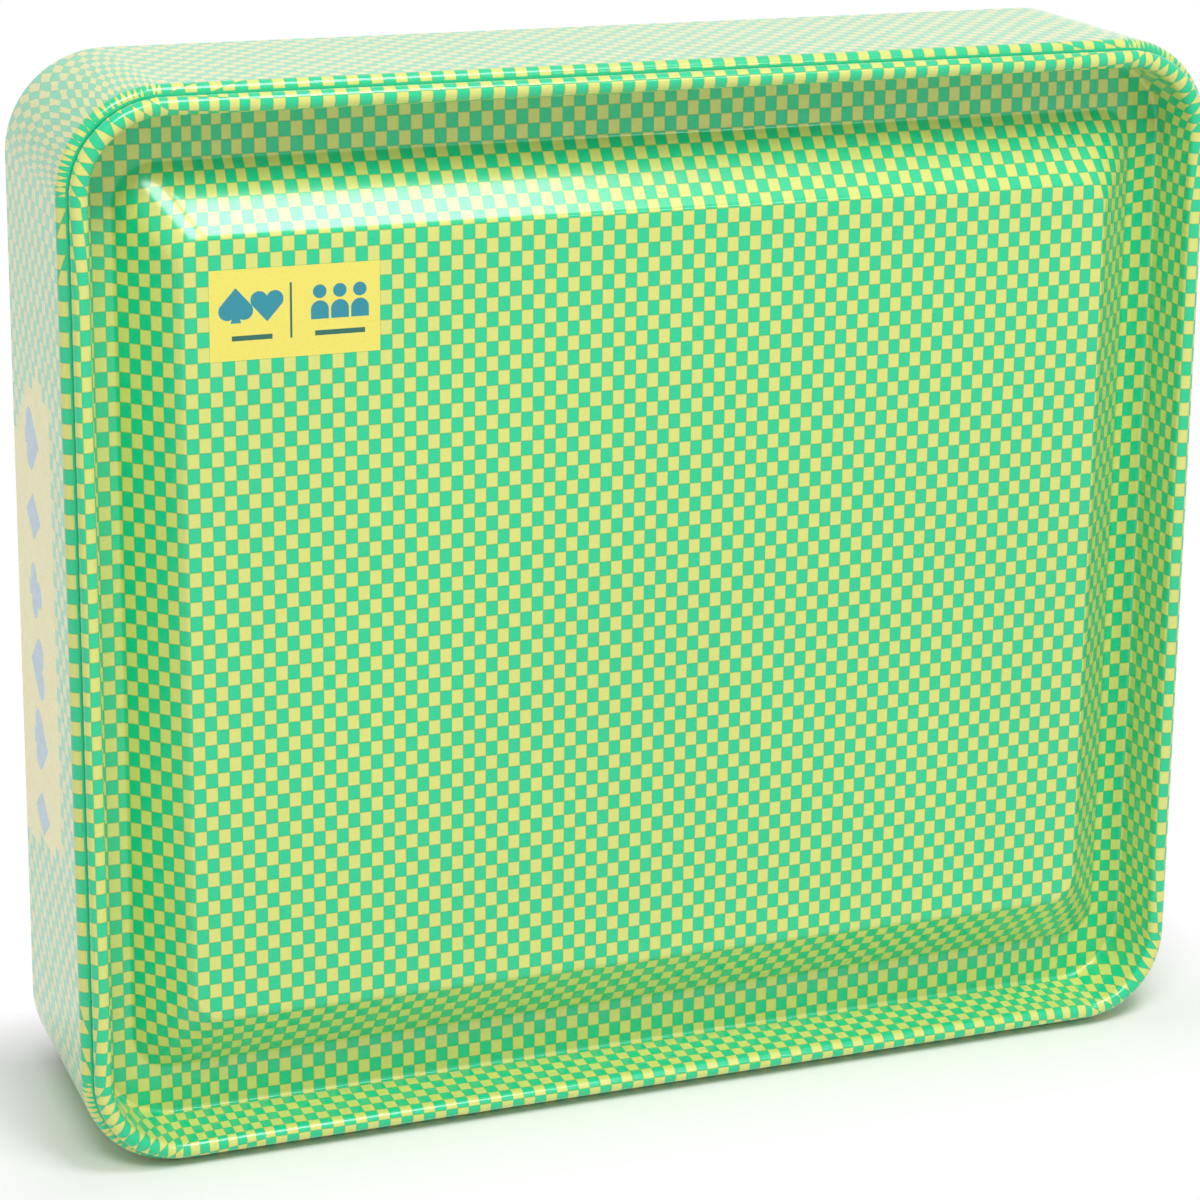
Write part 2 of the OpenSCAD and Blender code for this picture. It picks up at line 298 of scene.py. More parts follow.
# Bare materials, each from its darker to its lighter tone
PLATE_DARK = srgb(196, 192, 180)
PLATE_LIGHT = srgb(222, 218, 206)
WIRE_DARK = srgb(158, 158, 156)
WIRE_LIGHT = srgb(206, 206, 204)
RUBBED_PAINT = srgb(168, 190, 170)
TRAY_DARK = srgb(238, 238, 232)
TRAY_LIGHT = srgb(246, 246, 242)
CARD_PAPER = srgb(246, 244, 236)
BAND_DARK = srgb(214, 206, 96)
BAND_LIGHT = srgb(228, 220, 112)
FLOOR_DARK = (0.93, 0.93, 0.93, 1)
FLOOR_LIGHT = (0.95, 0.95, 0.95, 1)


# Node graphs

class Graph:
    """A material whose formula is written as calls, most of which add one node."""

    def __init__(self, name, roughness, metallic=0.0, coat=0.0, gloss=0.5):
        self.material = bpy.data.materials.new(name)
        self.material.use_nodes = True
        self.tree = self.material.node_tree
        self.shader = self.tree.nodes["Principled BSDF"]
        self.shader.inputs["Roughness"].default_value = roughness
        self.shader.inputs["Metallic"].default_value = metallic
        self.shader.inputs["Coat Weight"].default_value = coat
        self.shader.inputs["Coat Roughness"].default_value = COAT_ROUGHNESS
        self.shader.inputs["Specular IOR Level"].default_value = gloss

    def put(self, socket, value):
        """Link a socket, or set it where the value is a constant."""
        if isinstance(value, bpy.types.NodeSocket):
            self.tree.links.new(value, socket)
        else:
            socket.default_value = value

    def math(self, operation, *values):
        node = self.tree.nodes.new("ShaderNodeMath")
        node.operation = operation
        for socket, value in zip(node.inputs, values):
            self.put(socket, value)
        return node.outputs[0]

    def add(self, a, b):
        return self.math("ADD", a, b)

    def minus(self, a, b):
        return self.math("SUBTRACT", a, b)

    def times(self, a, b):
        return self.math("MULTIPLY", a, b)

    def below(self, a, b):
        return self.math("LESS_THAN", a, b)

    def above(self, a, b):
        return self.math("GREATER_THAN", a, b)

    def size(self, a):
        return self.math("ABSOLUTE", a)

    def inside(self, value, low, high):
        """1 where the value lies between low and high."""
        return self.math("COMPARE", value, (low + high) / 2, (high - low) / 2)

    def both(self, *masks):
        """1 where all masks are 1."""
        result = masks[0]
        for mask in masks[1:]:
            result = self.math("MINIMUM", result, mask)
        return result

    def either(self, *masks):
        """1 where at least one mask is 1."""
        result = masks[0]
        for mask in masks[1:]:
            result = self.math("MAXIMUM", result, mask)
        return result

    def mix(self, share, a, b):
        node = self.tree.nodes.new("ShaderNodeMix")
        node.data_type = "RGBA"
        self.put(node.inputs[0], share)
        self.put(node.inputs[6], a)
        self.put(node.inputs[7], b)
        return node.outputs[2]

    def split(self, vector):
        node = self.tree.nodes.new("ShaderNodeSeparateXYZ")
        self.put(node.inputs[0], vector)
        return node.outputs

    def join(self, x, y, z):
        node = self.tree.nodes.new("ShaderNodeCombineXYZ")
        for socket, value in zip(node.inputs, (x, y, z)):
            self.put(socket, value)
        return node.outputs[0]

    def print_uv(self):
        node = self.tree.nodes.new("ShaderNodeUVMap")
        node.uv_map = "Print"
        return node.outputs[0]

    def coordinates(self, kind="Object"):
        node = self.tree.nodes.new("ShaderNodeTexCoord")
        return node.outputs[kind]

    def in_mm(self):
        """Object coordinates in millimetres."""
        node = self.tree.nodes.new("ShaderNodeVectorMath")
        node.operation = "SCALE"
        self.put(node.inputs[0], self.coordinates())
        node.inputs["Scale"].default_value = 1 / MM
        return node.outputs[0]

    def noise(self, vector, scale, detail=2.0):
        node = self.tree.nodes.new("ShaderNodeTexNoise")
        self.put(node.inputs["Vector"], vector)
        node.inputs["Scale"].default_value = scale
        node.inputs["Detail"].default_value = detail
        return node.outputs["Fac"]

    def stretch(self, vector, x, y, z):
        node = self.tree.nodes.new("ShaderNodeVectorMath")
        node.operation = "MULTIPLY"
        self.put(node.inputs[0], vector)
        node.inputs[1].default_value = (x, y, z)
        return node.outputs[0]

    def remap(self, value, low, high, to_low, to_high):
        node = self.tree.nodes.new("ShaderNodeMapRange")
        self.put(node.inputs["Value"], value)
        node.inputs["From Min"].default_value = low
        node.inputs["From Max"].default_value = high
        node.inputs["To Min"].default_value = to_low
        node.inputs["To Max"].default_value = to_high
        return node.outputs["Result"]

    def spread(self, noise, to_low, to_high):
        """Noise spread over a range of its own."""
        return self.remap(noise, NOISE_LOW, NOISE_HIGH, to_low, to_high)

    def shade(self, colour, factor):
        """The colour multiplied by a factor."""
        node = self.tree.nodes.new("ShaderNodeVectorMath")
        node.operation = "SCALE"
        self.put(node.inputs[0], colour[:3] if isinstance(colour, tuple) else colour)
        self.put(node.inputs["Scale"], factor)
        return node.outputs[0]

    def colour(self, value):
        self.put(self.shader.inputs["Base Color"], value)

    def rough(self, value):
        self.put(self.shader.inputs["Roughness"], value)

    def bump(self, height, distance, strength):
        """Bump from a height field; distance is its size in millimetres."""
        node = self.tree.nodes.new("ShaderNodeBump")
        node.inputs["Strength"].default_value = strength
        node.inputs["Distance"].default_value = distance * MM
        self.put(node.inputs["Height"], height)
        self.put(self.shader.inputs["Normal"], node.outputs["Normal"])


# Shapes drawn in print, at a place in millimetres; the factors are shares of their size

def disc(g, x, y, at_x, at_y, radius):
    dx = g.minus(x, at_x)
    dy = g.minus(y, at_y)
    return g.below(g.add(g.times(dx, dx), g.times(dy, dy)), radius * radius)


def block(g, x, y, at_x, at_y, width, height):
    across = g.inside(x, at_x - width / 2, at_x + width / 2)
    along = g.inside(y, at_y - height / 2, at_y + height / 2)
    return g.both(across, along)


def diamond(g, x, y, at_x, at_y, width, height):
    dx = g.size(g.times(g.minus(x, at_x), 2 / width))
    dy = g.size(g.times(g.minus(y, at_y), 2 / height))
    return g.below(g.add(dx, dy), 1.0)


def heart(g, x, y, at_x, at_y, size, up=1):
    """Heart, or with up = -1 the leaf of a spade."""
    lobe = size * 0.27
    apart = lobe * 0.92
    lobes_y = at_y + up * size * 0.16
    left = disc(g, x, y, at_x - apart, lobes_y, lobe)
    right = disc(g, x, y, at_x + apart, lobes_y, lobe)
    point = diamond(g, x, y, at_x, at_y + up * size * 0.02, size * 0.98, size * 1.1)
    tip = g.below(g.times(g.minus(y, lobes_y), float(up)), 0.0)
    return g.either(left, right, g.both(point, tip))


def stem(g, x, y, at_x, at_y, size):
    """Foot of a spade or club, wider towards its end."""
    drop = g.minus(at_y, y)
    half = g.add(g.times(drop, 0.28), size * 0.03)
    narrow = g.below(g.size(g.minus(x, at_x)), half)
    return g.both(narrow, g.inside(drop, 0.0, size * 0.46))


def spade(g, x, y, at_x, at_y, size):
    leaf = heart(g, x, y, at_x, at_y + size * 0.06, size, -1)
    return g.either(leaf, stem(g, x, y, at_x, at_y, size))


def club(g, x, y, at_x, at_y, size):
    leaf = size * 0.23
    apart = size * 0.24
    low = at_y - size * 0.1
    top = disc(g, x, y, at_x, at_y + size * 0.22, leaf)
    left = disc(g, x, y, at_x - apart, low, leaf)
    right = disc(g, x, y, at_x + apart, low, leaf)
    return g.either(top, left, right, stem(g, x, y, at_x, at_y, size))


def player(g, x, y, at_x, at_y):
    """Round head over a straight body with round shoulders."""
    head = disc(g, x, y, at_x, at_y + HEAD_UP, HEAD_R)
    shoulders = disc(g, x, y, at_x, at_y - SHOULDERS_DOWN, SHOULDERS_R)
    upper = g.above(y, at_y - CHEST_DOWN)
    body = block(g, x, y, at_x, at_y - BODY_DOWN, 2 * SHOULDERS_R, BODY_H)
    return g.either(head, g.both(shoulders, upper), body)


# Printed tinplate

def checks(g, u, v):
    """1 on the green checks, 0 on the yellow ones."""
    cell = g.add(g.math("FLOOR", u), g.math("FLOOR", v))
    return g.below(g.math("FLOORED_MODULO", cell, 2.0), 0.5)


def overprint(g, u, v):
    """1 on the fine lines between checks, where the two inks lie over each other."""
    across = g.math("PINGPONG", u, 0.5)
    along = g.math("PINGPONG", v, 0.5)
    return g.below(g.math("MINIMUM", across, along), OVERLAP)


def printed_tin(name, pictures=None):
    """Lacquered print in two colours of checks, with pictures(g, u, v) as (mask, ink) over it."""
    g = Graph(name, 0.34, coat=0.85, gloss=0.2)
    u, v, depth = g.split(g.print_uv())
    mm = g.in_mm()
    colour = g.mix(checks(g, u, v), YELLOW, GREEN)
    colour = g.mix(g.times(overprint(g, u, v), OVERLAP_SHARE), colour, BOTH_INKS)
    for mask, ink in pictures(g, u, v) if pictures else []:
        colour = g.mix(mask, colour, ink)
    grain = g.spread(g.noise(mm, 3.0, 3.0), -0.03, 0.03)
    cloud = g.spread(g.noise(mm, 0.02), 0.975, 1.025)
    g.colour(g.shade(colour, g.add(grain, cloud)))
    g.rough(g.remap(g.noise(mm, 0.6, 3.0), 0.35, 0.65, 0.26, 0.36))
    g.bump(g.noise(mm, 2.2), 0.012, 0.5)
    return g.material


def badge(g, u, v):
    """Small patch on the panel: two card shapes, a divider and three players, with bars below."""
    patch = g.both(g.inside(u, BADGE_LEFT, BADGE_RIGHT), g.inside(v, BADGE_LOW, BADGE_HIGH))
    x = g.times(g.minus(u, (BADGE_LEFT + BADGE_RIGHT) / 2), CHECK_X)
    y = g.times(g.minus(v, (BADGE_LOW + BADGE_HIGH) / 2), CHECK_Y)
    players = [player(g, x, y, PLAYERS_X + k * PLAYER_PITCH, PLAYERS_Y) for k in (-1, 0, 1)]
    signs = g.either(
        spade(g, x, y, SPADE_X, SPADE_Y, SPADE_SIZE),
        heart(g, x, y, HEART_X, HEART_Y, HEART_SIZE),
        *players,
    )
    lines = g.either(
        block(g, x, y, DIVIDER_X, DIVIDER_Y, DIVIDER_W, DIVIDER_H),
        block(g, x, y, SUITS_BAR_X, BAR_Y, SUITS_BAR_W, BAR_H),
        block(g, x, y, PLAYERS_X, BAR_Y, PLAYERS_BAR_W, BAR_H),
    )
    dark = g.both(patch, lines)
    return [(patch, PATCH_YELLOW), (dark, DARK_GREEN), (g.both(patch, signs), TEAL)]


def wall_pictures(g, u, v):
    """The side patch, and the lip behind the front shoulder in plain green ink as painted crevice
    shade.
    """
    x, y, z = g.split(g.in_mm())
    # Plain green ink on the lip is partly painted shade: it darkens the crevice between shoulder
    # and curl
    lip = g.below(y, base_high.y / MM - mouth_z + LIP_SHADE_REACH)
    return side_patch(g, u, v) + [(lip, GREEN)]


def side_patch(g, wall_u, wall_v):
    """Patch with stepped ends on the left side, with a row of card suits."""
    u = g.minus(SIDE_COUNT, wall_v)
    v = g.minus(-SHOULDER_COLUMN, wall_u)
    column = g.math("FLOOR", u)
    row = g.math("FLOOR", v)
    slant = g.times(g.size(g.minus(row, SIDE_PEAK)), SIDE_SLANT)
    cut = g.times(g.minus(row, SIDE_LOW), SIDE_CUT)
    started = g.above(column, g.add(slant, SIDE_START - 0.5))
    ended = g.below(column, g.minus(SIDE_END - 0.5, cut))
    patch = g.both(started, ended, g.inside(v, SIDE_LOW, SIDE_HIGH))
    along = g.times(g.minus(u, SIDE_START + SIDE_MARGIN), CHECK_Y)
    index = g.math("FLOOR", g.times(along, 1 / SUIT_PITCH))
    x = g.minus(g.minus(along, g.times(index, SUIT_PITCH)), SUIT_PITCH / 2)
    y = g.times(g.minus(v, (SIDE_LOW + SIDE_HIGH) / 2), CHECK_DEEP)
    suits = [
        spade(g, x, y, 0.0, 0.0, SUIT_SIZE),
        diamond(g, x, y, 0.0, 0.0, SUIT_SIZE * 0.8, SUIT_SIZE * 1.1),
        club(g, x, y, 0.0, 0.0, SUIT_SIZE),
        heart(g, x, y, 0.0, 0.0, SUIT_SIZE),
    ]
    turn = g.math("FLOORED_MODULO", index, float(len(suits)))
    shown = g.either(*[g.both(g.inside(turn, k - 0.5, k + 0.5), s) for k, s in enumerate(suits)])
    counted = g.inside(index, -0.5, SUIT_COUNT - 0.5)
    return [(patch, PATCH_YELLOW), (g.both(patch, counted, shown), GREY_BLUE)]


def bare_tin(name):
    """Inside of the tinplate: satin metal with fine rolling lines."""
    g = Graph(name, 0.38, metallic=1.0)
    mm = g.in_mm()
    lines = g.noise(g.stretch(mm, 0.15, 6.0, 6.0), 1.0, 3.0)
    g.colour(g.mix(lines, PLATE_DARK, PLATE_LIGHT))
    g.rough(g.spread(g.noise(mm, 0.3), 0.32, 0.46))
    g.bump(lines, 0.01, 0.4)
    return g.material


def wire_steel():
    """Drawn wire of the hinges."""
    g = Graph("wire_steel", 0.28, metallic=1.0)
    drawn = g.noise(g.stretch(g.in_mm(), 12.0, 12.0, 0.4), 1.0)
    g.colour(g.mix(drawn, WIRE_DARK, WIRE_LIGHT))
    g.rough(g.spread(drawn, 0.22, 0.4))
    return g.material


def knuckle_paint():
    """Green lacquer of the rolled knuckles, rubbed thin in places."""
    g = Graph("knuckle_paint", 0.32, coat=0.2)
    mm = g.in_mm()
    rubbed = g.remap(g.noise(mm, 1.6, 4.0), 0.6, 0.68, 0.0, 0.6)
    g.colour(g.mix(rubbed, GREEN, RUBBED_PAINT))
    g.rough(g.spread(g.noise(mm, 2.0), 0.26, 0.42))
    return g.material


# Contents

def tray_plastic():
    """Satin white of the vacuum-formed tray."""
    g = Graph("tray_plastic", 0.42)
    mm = g.in_mm()
    g.colour(g.mix(g.noise(mm, 0.05), TRAY_DARK, TRAY_LIGHT))
    g.rough(g.spread(g.noise(mm, 1.2), 0.36, 0.5))
    g.bump(g.noise(mm, 4.0), 0.02, 0.4)
    return g.material


def from_middle(g, mm, name, border):
    """Distances across and along from the middle of a node, and 1 inside a border on its face."""
    low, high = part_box(name)
    centre = (low + high) / 2 / MM
    half = (high - low) / 2 / MM
    x, y, z = g.split(mm)
    across = g.minus(x, centre.x)
    along = g.minus(z, centre.z)
    inner_x = g.below(g.size(across), half.x - border)
    inner_z = g.below(g.size(along), half.z - border)
    return across, along, g.both(inner_x, inner_z)


def on_stack(g, mm, picture):
    """Picture on the face towards the lid, and one fine line per sheet of paper on the edges."""
    x, y, z = g.split(mm)
    line = g.noise(g.join(g.times(x, 0.05), g.times(y, CARD_LINES), g.times(z, 0.05)), 1.0, 1.0)
    edge = g.shade(CARD_PAPER, g.remap(line, 0.35, 0.65, 0.78, 1.0))
    normal_x, normal_y, normal_z = g.split(g.coordinates("Normal"))
    return g.mix(g.below(normal_y, -0.5), edge, picture)


def card_back(name, ink, second, pitch):
    """Deck of cards: white edges in fine lines, and a lattice of diamonds on the top card."""
    g = Graph(f"{name}_print", 0.4, coat=0.1)
    mm = g.in_mm()
    dx, dz, field = from_middle(g, mm, name, CARD_BORDER)
    left = g.math("FLOORED_MODULO", g.times(g.add(dx, dz), 1 / pitch), 1.0)
    right = g.math("FLOORED_MODULO", g.times(g.minus(dx, dz), 1 / pitch), 1.0)
    lattice = g.either(g.below(left, LATTICE_LINE), g.below(right, LATTICE_LINE))
    middle = (1 + LATTICE_LINE) / 2
    off_left = g.size(g.minus(left, middle))
    off_right = g.size(g.minus(right, middle))
    spot = g.below(g.add(off_left, off_right), LATTICE_SPOT)
    picture = g.mix(g.both(field, lattice), g.mix(field, CARD_PAPER, ink), CARD_PAPER)
    picture = g.mix(g.both(field, spot), picture, second)
    g.colour(on_stack(g, mm, picture))
    g.bump(g.noise(g.stretch(mm, 1.0, 12.0, 1.0), 1.0), 0.02, 0.3)
    return g.material


def band_paper(name):
    """Uncoated paper of a band, with a printed line along each edge."""
    g = Graph(f"{name}_paper", 0.75)
    low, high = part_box(name)
    middle = (low.z + high.z) / 2 / MM
    half = (high.z - low.z) / 2 / MM
    mm = g.in_mm()
    x, y, z = g.split(mm)
    from_edge = g.minus(half, g.size(g.minus(z, middle)))
    fibre = g.noise(g.stretch(mm, 1.0, 1.0, 3.0), 2.5, 4.0)
    paper = g.mix(g.spread(fibre, 0.0, 1.0), BAND_DARK, BAND_LIGHT)
    g.colour(g.mix(g.inside(from_edge, BAND_LINE_FROM, BAND_LINE_TO), paper, GREEN))
    g.bump(fibre, 0.03, 0.5)
    return g.material


def booklet_paper():
    """Folded rules: a cover with a checked border, four suits and three rules, and page edges."""
    g = Graph("booklet_paper", 0.45, coat=0.15)
    mm = g.in_mm()
    dx, dz, inner = from_middle(g, mm, "rule_booklet", BOOKLET_BORDER)
    border = g.mix(checks(g, g.times(dx, 1 / CHECK_Y), g.times(dz, 1 / CHECK_Y)), YELLOW, GREEN)
    suits = g.either(
        spade(g, dx, dz, -COVER_SUIT_X, COVER_HIGH, COVER_SUIT),
        diamond(g, dx, dz, COVER_SUIT_X, COVER_HIGH, COVER_DIAMOND_W, COVER_DIAMOND_H),
        club(g, dx, dz, COVER_SUIT_X, COVER_LOW, COVER_SUIT),
        heart(g, dx, dz, -COVER_SUIT_X, COVER_LOW, COVER_SUIT),
    )
    heights = [RULE_TOP - RULE_PITCH * k for k in range(RULE_COUNT)]
    rules = g.either(*[block(g, dx, dz, 0.0, height, RULE_W, RULE_H) for height in heights])
    cover = g.mix(inner, border, PATCH_YELLOW)
    cover = g.mix(g.both(inner, g.either(suits, rules)), cover, TEAL)
    g.colour(on_stack(g, mm, cover))
    g.bump(g.noise(mm, 1.5, 3.0), 0.02, 0.3)
    return g.material


# Sections of the sheets

def even(inset, level):
    """Ring with the same inset all round."""
    return Ring(inset, inset, level, CORNER_R - inset)


def arc(inset, level, radius_in, radius_z, start, end, steps):
    """Rings on an arc; 0 degrees points into the tin and 90 to the front."""
    angles = [math.radians(start + (end - start) * k / steps) for k in range(steps + 1)]
    return [even(inset + radius_in * math.cos(a), level + radius_z * math.sin(a)) for a in angles]


def rise(u):
    """Rise of the slope from 0 to 1: straight, with a tight bend at its foot and at the panel."""
    rate = 1 / (1 - FOOT_BEND / 2 - PANEL_BEND / 2)
    if u < FOOT_BEND:
        return rate * u * u / (2 * FOOT_BEND)
    if u < 1 - PANEL_BEND:
        return rate * (u - FOOT_BEND / 2)
    return 1 - rate * (1 - u) ** 2 / (2 * PANEL_BEND)


def slope_ring(u):
    radius = SLOPE_FOOT_R + (PANEL_R - SLOPE_FOOT_R) * u
    level = valley_z + VALLEY_DEPTH * rise(u)
    return Ring(slope_in_x + SLOPE_X * u, slope_in_y + SLOPE_Y * u, level, radius)


def lid_rings():
    """From the hidden end of the curl to the flat panel."""
    bend_in = foot_in + WALL_BEND
    bend_z = valley_z + WALL_BEND
    curl = arc(curl_middle, curl_z, CURL_R, CURL_R, 270, 0, CURL_STEPS)
    bend = arc(bend_in, bend_z, WALL_BEND, WALL_BEND, 180, 270, BEND_STEPS)
    slope = [slope_ring(k / SLOPE_STEPS) for k in range(SLOPE_STEPS + 1)]
    flat = Ring(panel_in_x + PANEL_MARGIN, panel_in_y + PANEL_MARGIN, panel_z, PANEL_R)
    return curl + bend + slope + [flat]


def wall_rings():
    """From the flange inside the base curl to the hemmed lip inside the mouth."""
    flange_in = wall_in - 2 * SHEET_T
    foot = 2 * CURL_R
    low = SHOULDER_DROP + foot
    high = mouth_z - SHOULDER_DROP
    flange = [
        even(flange_in, CURL_R),
        even(flange_in, foot - FLANGE_BEND),
        even(flange_in - FLANGE_BEND, foot),
    ]
    lower = arc(SHOULDER_IN, low, SHOULDER_IN, SHOULDER_DROP, 270, 180, SHOULDER_STEPS)
    upper = arc(SHOULDER_IN, high, SHOULDER_IN, SHOULDER_DROP, 180, 90, SHOULDER_STEPS)
    lip_in = SHOULDER_IN + LIP_T
    lip = [
        even(lip_in - LIP_CHAMFER, mouth_z),
        even(lip_in, mouth_z - LIP_CHAMFER),
        even(lip_in, mouth_z - LIP_H),
    ]
    return flange + lower + [even(0, window_z)] + upper + lip


def base_rings():
    """From the base panel to the hidden end of its curl."""
    bend_in = wall_in + BASE_BEND
    bend_z = BASE_RECESS - BASE_BEND
    bend = arc(bend_in, bend_z, BASE_BEND, BASE_BEND, 90, 180, BEND_STEPS)
    curl = arc(curl_middle, CURL_R, CURL_R, CURL_R, 0, -270, CURL_STEPS)
    return [even(bend_in + BASE_MARGIN, BASE_RECESS)] + bend + curl


def side_stops():
    """Heights on the right-hand side where a ring has points, for the windows of the hinges."""
    edges = [height + side * window_half for height in hinge_heights for side in (-1, 1)]
    return sorted(edges)


def outline(ring):
    """Points round a ring, from the middle of the right-hand side anticlockwise.

    The print is crowded fully at the middle of a corner, by SIDE_SHARE where the straight side
    begins, and not at all at the point beyond it.
    """
    edge_x = half_w - ring.in_x
    edge_y = half_h - ring.in_y
    round_x = edge_x - ring.radius
    round_y = edge_y - ring.radius
    stops = side_stops()
    spread = min(SPREAD, round_y - stops[-1] - SPREAD_ROOM)
    points = [Point(edge_x, y, 0.0, 0.0) for y in [0.0] + [stop for stop in stops if stop > 0]]
    for quarter, (side_x, side_y) in enumerate(((1, 1), (-1, 1), (-1, -1), (1, -1))):
        for step in range(-1, CORNER_STEPS + 2):
            round_step = min(max(step, 0), CORNER_STEPS)
            share = round_step / CORNER_STEPS
            angle = math.radians(90 * (quarter + share))
            across = math.cos(angle)
            along = math.sin(angle)
            beyond = spread * (step - round_step)
            x = side_x * round_x + ring.radius * across - beyond * along
            y = side_y * round_y + ring.radius * along + beyond * across
            crowd = SIDE_SHARE + (1 - SIDE_SHARE) * (1 - abs(2 * share - 1))
            points.append(Point(x, y, angle, 0.0 if beyond else crowd))
    return points + [Point(edge_x, y, 0.0, 0.0) for y in stops if y < 0]


# Print of the drawn sheets

def corner_reach(radius, length):
    """Radius that a drawn corner of this radius and wall length had in the flat sheet."""
    return math.sqrt(radius * radius + 2 * DRAWN_AREA * radius * length)


def drawn_lengths(rings):
    """How much longer the flat sheet was than the plan, at each ring from the innermost outwards.

    The slope's share is given for the sides and for top and bottom, the rim's share for the
    straight stretches and for the corners.
    """
    slope_x = slope_y = rim = 0.0
    lengths = [(0.0, 0.0, 0.0, 0.0)]
    foot_r = next(ring.radius for ring in rings if ring.in_x == ring.in_y)
    for here, there in zip(rings, rings[1:]):
        rise_z = there.level - here.level
        out_x = here.in_x - there.in_x
        out_y = here.in_y - there.in_y
        if here.in_x != here.in_y:
            slope_x += math.hypot(out_x, rise_z) - out_x
            slope_y += math.hypot(out_y, rise_z) - out_y
        else:
            rim += math.hypot(out_x, rise_z) * RIM_STRETCH - out_x
        wider = there.radius - foot_r
        corner = corner_reach(foot_r, max(rim + wider, 0.0)) - foot_r - wider
        lengths.append((slope_x, slope_y, rim, corner if rim else 0.0))
    return lengths


def flat_print(rings, outwards):
    """UV of a sheet that was printed flat, in checks from the panel's top left corner.

    On a straight side the slope lengthens the sheet across the side, at a corner both ways.
    """
    lengths = drawn_lengths(rings if outwards else rings[::-1])
    lengths = lengths if outwards else lengths[::-1]
    loops = [outline(ring) for ring in rings]
    left = -(half_w - panel_in_x)
    top = half_h - panel_in_y

    def uv(k, j):
        x, y, angle, crowd = loops[k][j % len(loops[k])]
        slope_x, slope_y, rim, corner = lengths[k]
        across = math.cos(angle)
        along = math.sin(angle)
        slope_x *= 1.0 if crowd else abs(across)
        slope_y *= 1.0 if crowd else abs(along)
        drawn = rim + (corner - rim) * crowd
        x += math.copysign(slope_x, x) + drawn * across
        y += math.copysign(slope_y, y) + drawn * along
        return (FIRST_COLUMN + (x - left) / CHECK_X, FIRST_ROW + (y - top) / CHECK_Y)
    return uv


def wall_print(rings):
    """UV of the wall, drawn up from a flat sheet: even on the sides and crowded at the corners."""
    plan = outline(even(0, 0))
    up = [0.0]
    for here, there in zip(rings, rings[1:]):
        step = math.hypot(there.in_x - here.in_x, there.level - here.level)
        up.append(up[-1] + step / CHECK_DEEP)
    shoulder = next(k for k, ring in enumerate(rings) if ring.level > window_z + LEVEL_PLAY)
    foot = CORNER_R * (1 / CHECK_X + 1 / CHECK_Y) / 2

    def uv(k, j):
        x, y, angle, crowd = plan[j % len(plan)]
        across = math.cos(angle)
        along = math.sin(angle)
        middle_u = MIDDLE_COLUMN + (x - CORNER_R * across) / CHECK_X
        middle_v = MIDDLE_ROW + (y - CORNER_R * along) / CHECK_Y
        reach_u = abs(math.copysign(SHOULDER_COLUMN + up[k] - up[shoulder], x) - middle_u)
        reach_v = abs(math.copysign(SHOULDER_ROW + up[k] - up[shoulder], y) - middle_v)
        straight = (reach_u + reach_v) / 2
        share = corner_reach(foot, max(straight - foot, 0.0)) / straight
        drawn = 1 + (share - 1) * crowd
        return (middle_u + reach_u * across * drawn, middle_v + reach_v * along * drawn)
    return uv


# Sheets

def new_piece(name, materials):
    mesh = bpy.data.meshes.new(name)
    for material in materials:
        mesh.materials.append(material)
    piece = bpy.data.objects.new(name, mesh)
    bpy.context.scene.collection.objects.link(piece)
    return piece


def even_normals(piece):
    piece.modifiers.new("smooth", "WEIGHTED_NORMAL").keep_sharp = True


def printed_face(bm, corners, uvs):
    """Smooth face whose corners carry the print."""
    layer = bm.loops.layers.uv["Print"]
    face = bm.faces.new(corners)
    face.smooth = True
    for loop, uv in zip(face.loops, uvs):
        loop[layer].uv = uv


def tin_sheet(name, rings, uv, materials, cap, hole=None):
    """Thin sheet through the rings, printed on its outside and bare on its inside.

    The ring with the number cap, the first or the last, is closed by a flat face. The function
    hole says which faces are left out.
    """
    piece = new_piece(name, materials)
    bm = bmesh.new()
    bm.loops.layers.uv.new("Print")
    loops = [outline(ring) for ring in rings]
    grid = [
        [bm.verts.new(place(point.x, point.y, ring.level)) for point in loop]
        for ring, loop in zip(rings, loops)
    ]
    count = len(loops[0])
    for k in range(len(rings) - 1):
        for j in range(count):
            if hole and hole(rings[k], rings[k + 1], loops[k][j], loops[k][(j + 1) % count]):
                continue
            ends = ((k, j), (k, j + 1), (k + 1, j + 1), (k + 1, j))
            printed_face(bm, [grid[a][b % count] for a, b in ends], [uv(a, b) for a, b in ends])
    if cap is not None:
        order = range(count) if cap else range(count - 1, -1, -1)
        printed_face(bm, [grid[cap][j] for j in order], [uv(cap, j) for j in order])
    loose = [vert for vert in bm.verts if not vert.link_faces]
    bmesh.ops.delete(bm, geom=loose, context="VERTS")
    bm.to_mesh(piece.data)
    bm.free()
    thicken(piece)
    even_normals(piece)
    return piece


def thicken(piece):
    """Inwards by the sheet's thickness, with the second material on the inside and the rims."""
    thick = piece.modifiers.new("thickness", "SOLIDIFY")
    thick.thickness = SHEET_T * MM
    thick.offset = -1
    thick.material_offset = 1
    thick.material_offset_rim = 1


def in_window(low, high, here, there):
    """Whether a face of the wall lies in the window of a hinge."""
    below = min(low.level, high.level) < window_z - LEVEL_PLAY
    if below or here.x < half_w - WINDOW_REACH:
        return False
    middle = (here.y + there.y) / 2
    return any(abs(middle - height) < window_half for height in hinge_heights)


